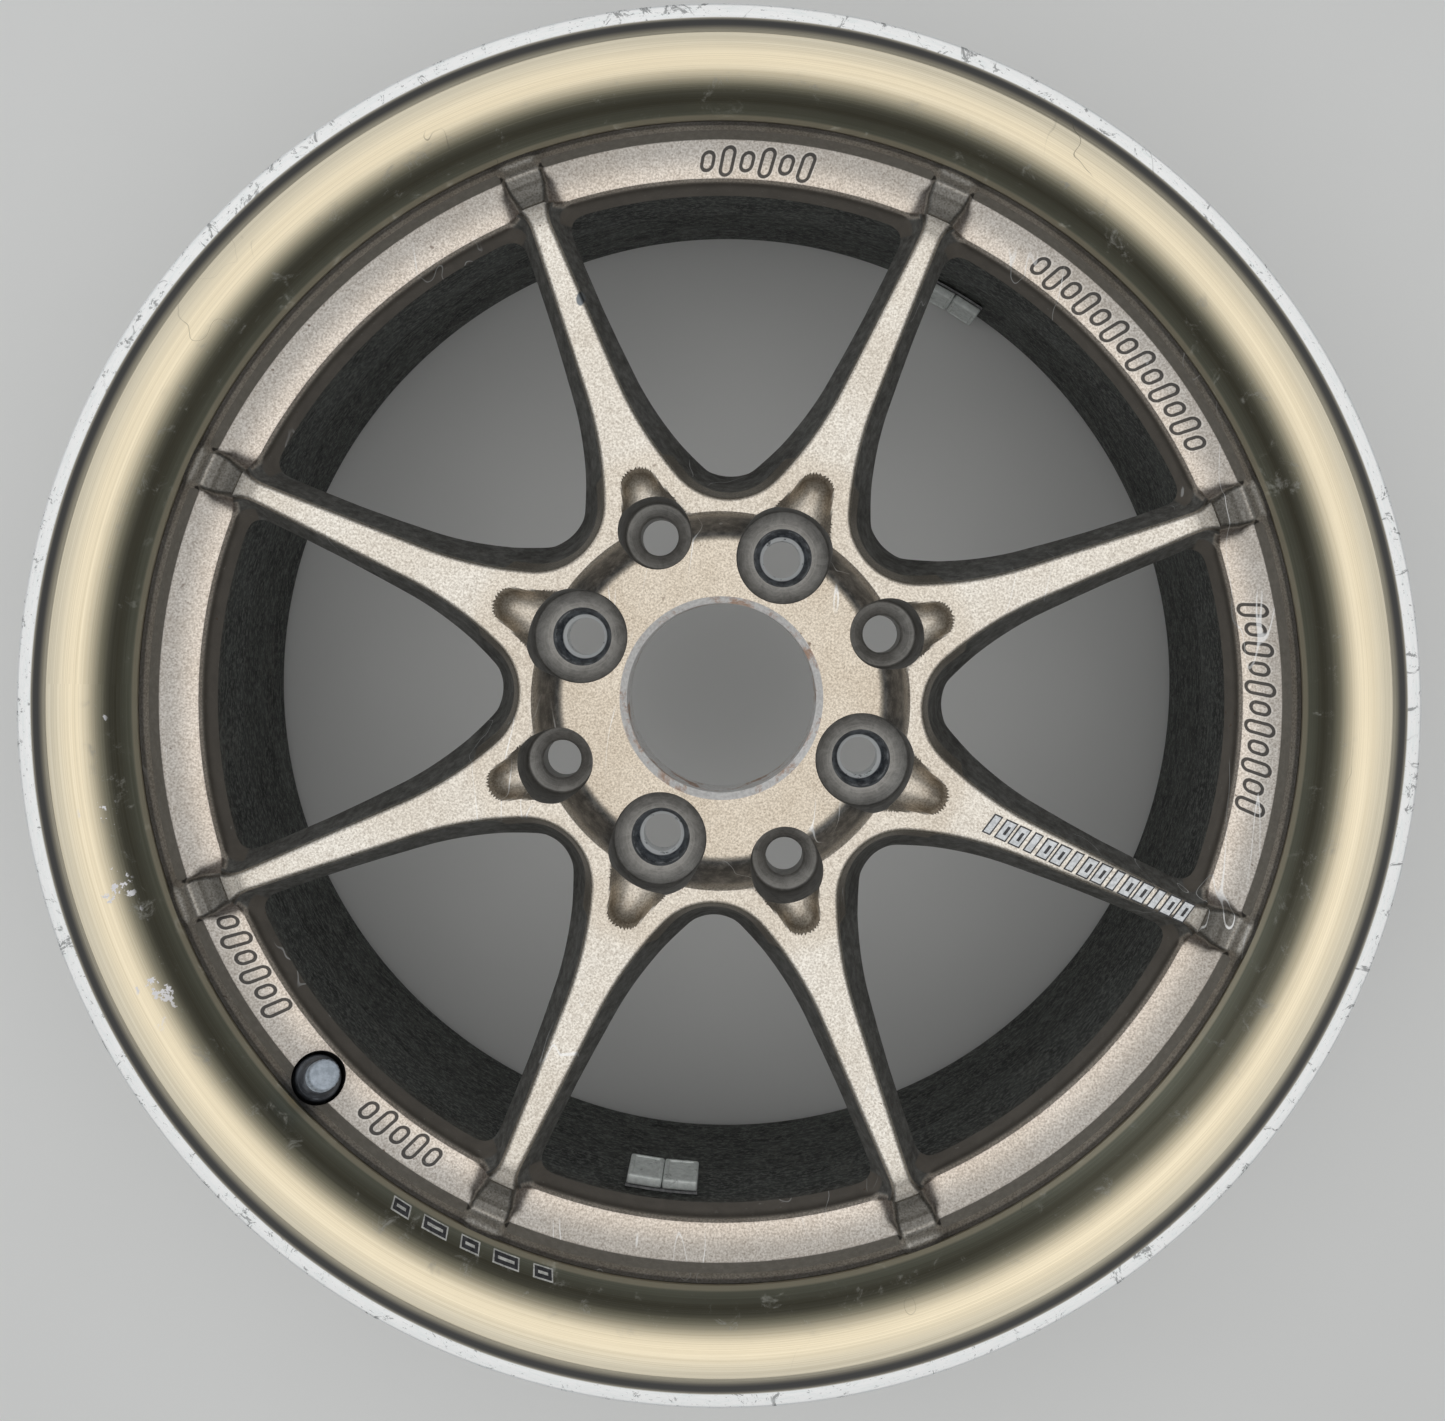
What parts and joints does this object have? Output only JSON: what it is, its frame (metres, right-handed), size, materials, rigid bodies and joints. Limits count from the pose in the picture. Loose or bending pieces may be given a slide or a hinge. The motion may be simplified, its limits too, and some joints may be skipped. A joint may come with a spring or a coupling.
{
  "type": "forged racing wheel rim",
  "caption": "Forged alloy wheel rim with slim tapered spokes, a stepped lip, a recessed dual-drilled hub, a rubber snap-in valve with a screw cap, and stick-on balance weights.",
  "frame": {"origin": "centre of the wheel's axis in the plane of the rear (inboard) flange", "axes": "+Z along the wheel's axis towards the outboard face, so the wheel lies face up; +X through the middle of a window between two spokes"},
  "size_m": [0.4148, 0.4148, 0.1911],
  "materials": {
    "rim_gold": "gold clear-coated turned lip, bronze band, worn bare edge",
    "hub_bronze": "satin metallic bronze",
    "spoke_bronze": "satin metallic bronze",
    "valve_rubber": "matte black",
    "stem_brass": "machined",
    "core_nickel": "plated",
    "core_seal_red": "smooth",
    "pin_steel": "drawn",
    "poppet_rubber": "matte",
    "spring_steel": "drawn wire",
    "cap_grey": "matte dark grey",
    "cap_seal_rubber": "matte",
    "weight_zinc": "zinc plated",
    "weight_tape": "foam tape",
    "decal_white": "vinyl film",
    "decal_pale": "vinyl film"
  },
  "bodies": {
    "wheel": {"rim_front": "rim_gold", "rim_well": "rim_gold", "rim_barrel": "rim_gold", "rim_rear": "rim_gold", "hub_centre": "hub_bronze", "spoke_1": "spoke_bronze", "spoke_2": "spoke_bronze", "spoke_3": "spoke_bronze", "spoke_4": "spoke_bronze", "spoke_5": "spoke_bronze", "spoke_6": "spoke_bronze", "spoke_7": "spoke_bronze", "spoke_8": "spoke_bronze", "valve_rubber": "valve_rubber", "valve_stem": "stem_brass", "valve_core_barrel": "core_nickel", "valve_core_seal": "core_seal_red", "valve_core_spring": "spring_steel", "weight_a1": "weight_zinc", "weight_a2": "weight_zinc", "weight_b1": "weight_zinc", "weight_b2": "weight_zinc", "weight_tape_a": "weight_tape", "weight_tape_b": "weight_tape", "spoke_decal": "decal_white", "lip_decal": "decal_pale"},
    "valve_core": {"valve_core_pin": "pin_steel", "valve_core_poppet": "poppet_rubber"},
    "cap_seal": {"valve_cap_seal": "cap_seal_rubber"},
    "cap": {"valve_cap": "cap_grey"}
  },
  "joints": [
    {"name": "core_press", "type": "slide", "parent": "wheel", "child": "valve_core", "axis": [-0.332, -0.332, -0.8829], "range_m": [0, 0.0015], "stiffness_N_per_m": 1000, "springref_m": -0.002, "deforming": ["valve_core_spring"]},
    {"name": "cap_travel", "type": "slide", "parent": "wheel", "child": "cap_seal", "axis": [0.332, 0.332, 0.8829], "range_m": [0, 0.00397]},
    {"name": "cap_turn", "type": "hinge", "parent": "cap_seal", "child": "cap", "pos_m": [-0.11848, -0.11848, 0.17384], "axis": [0.332, 0.332, 0.8829], "range_deg": [0, 1800]}
  ],
  "couplings": [
    {"joint": "cap_turn", "follows": "cap_travel", "rad_per_m": 7913.3}
  ]
}
